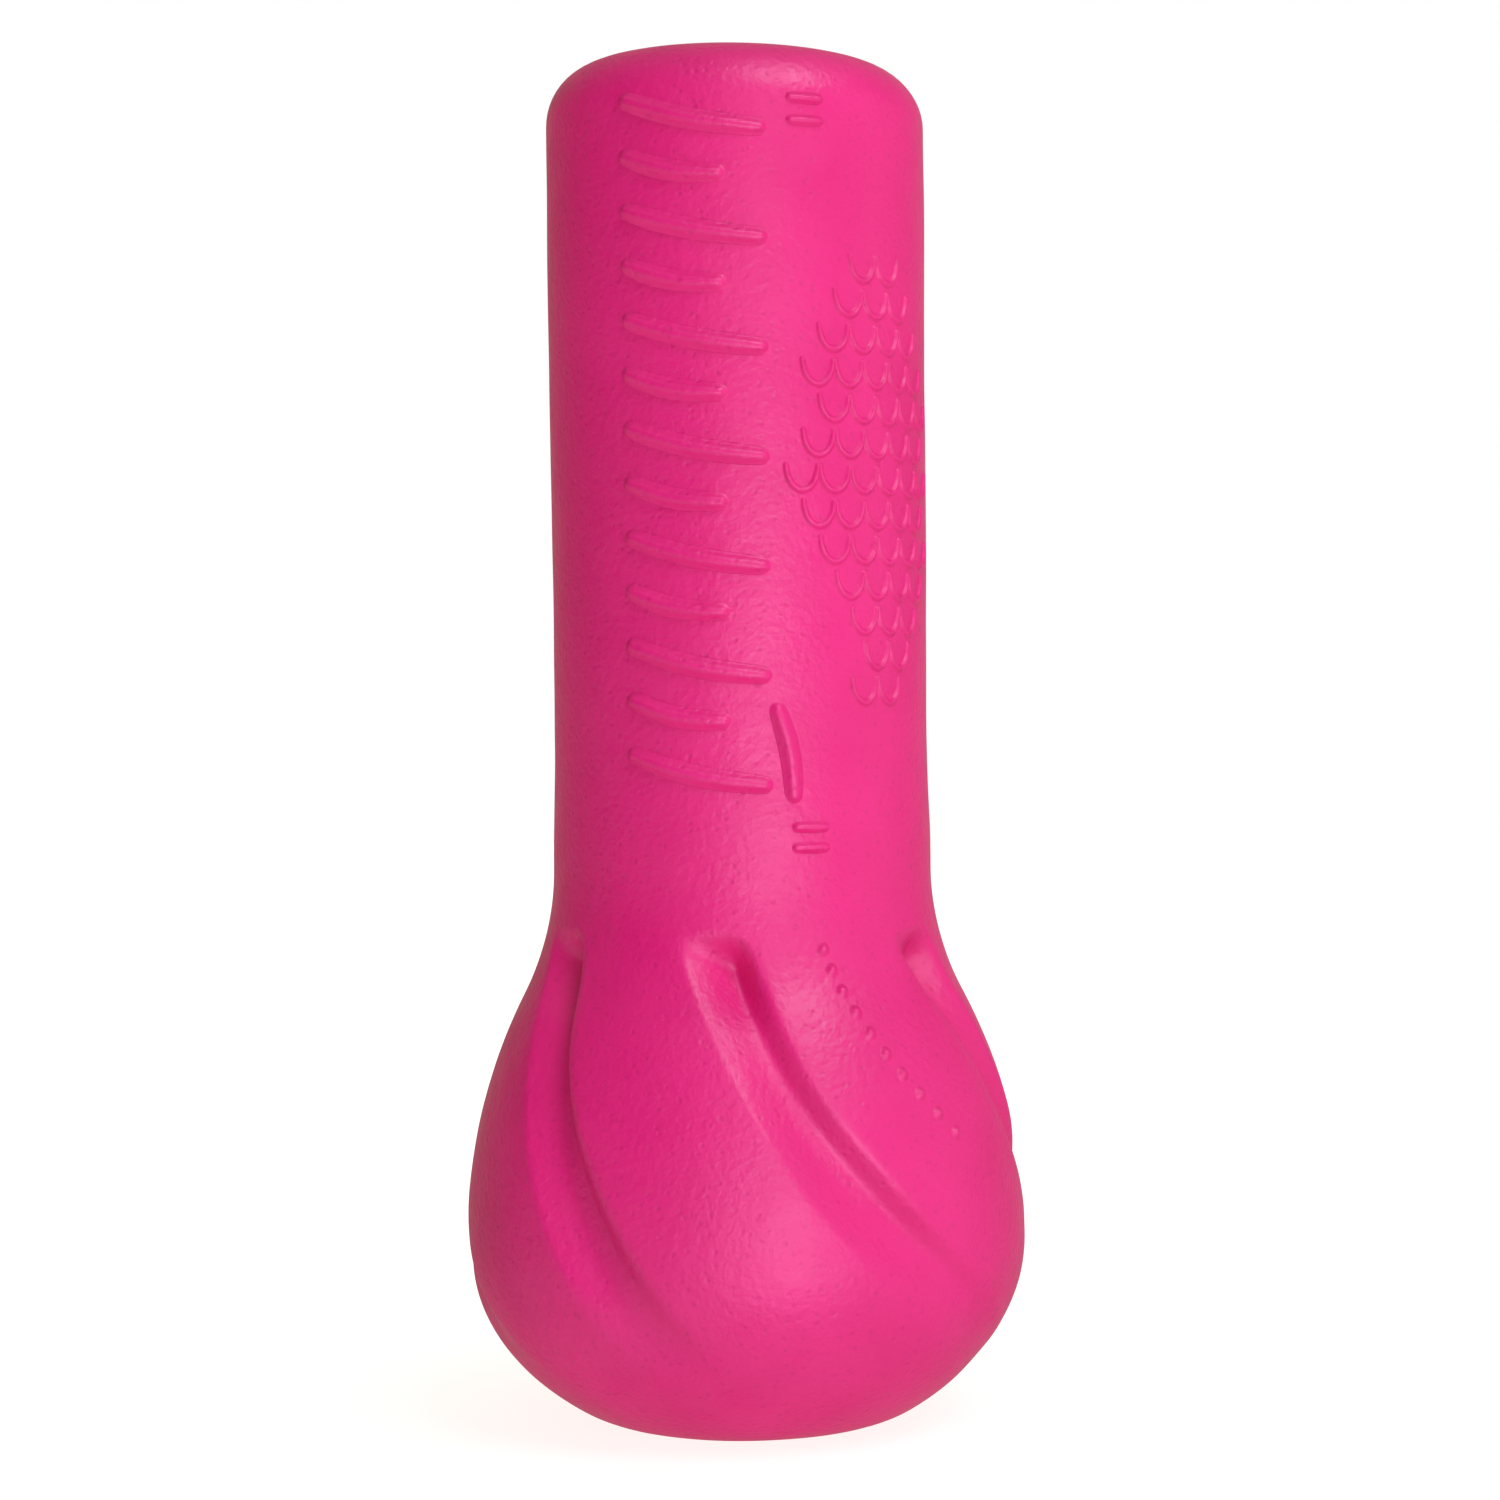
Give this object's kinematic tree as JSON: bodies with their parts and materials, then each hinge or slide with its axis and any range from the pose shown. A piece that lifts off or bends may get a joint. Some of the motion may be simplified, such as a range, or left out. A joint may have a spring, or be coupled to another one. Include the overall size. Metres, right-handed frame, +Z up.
{
  "type": "fishing rod butt cushion",
  "caption": "Soft foam cushion with a straight round stem and a fluted bulb, which slips over the butt of a fishing rod.",
  "frame": {"origin": "middle of the flat foot, under the bulb, on the stem's axis", "axes": "+Z up the stem to the mouth, -Y towards the side with the raised marks, which is the front, +X to that side's right"},
  "size_m": [0.0827, 0.0828, 0.2],
  "materials": {
    "foam": "satin closed-cell foam skin",
    "liner": "matte rubber",
    "cup": "matte moulded nylon",
    "steel": "brushed"
  },
  "bodies": {
    "root": {"cushion_body": "foam", "grip_liner": "liner", "butt_cup": "cup", "cross_pin": "steel"}
  },
  "joints": []
}
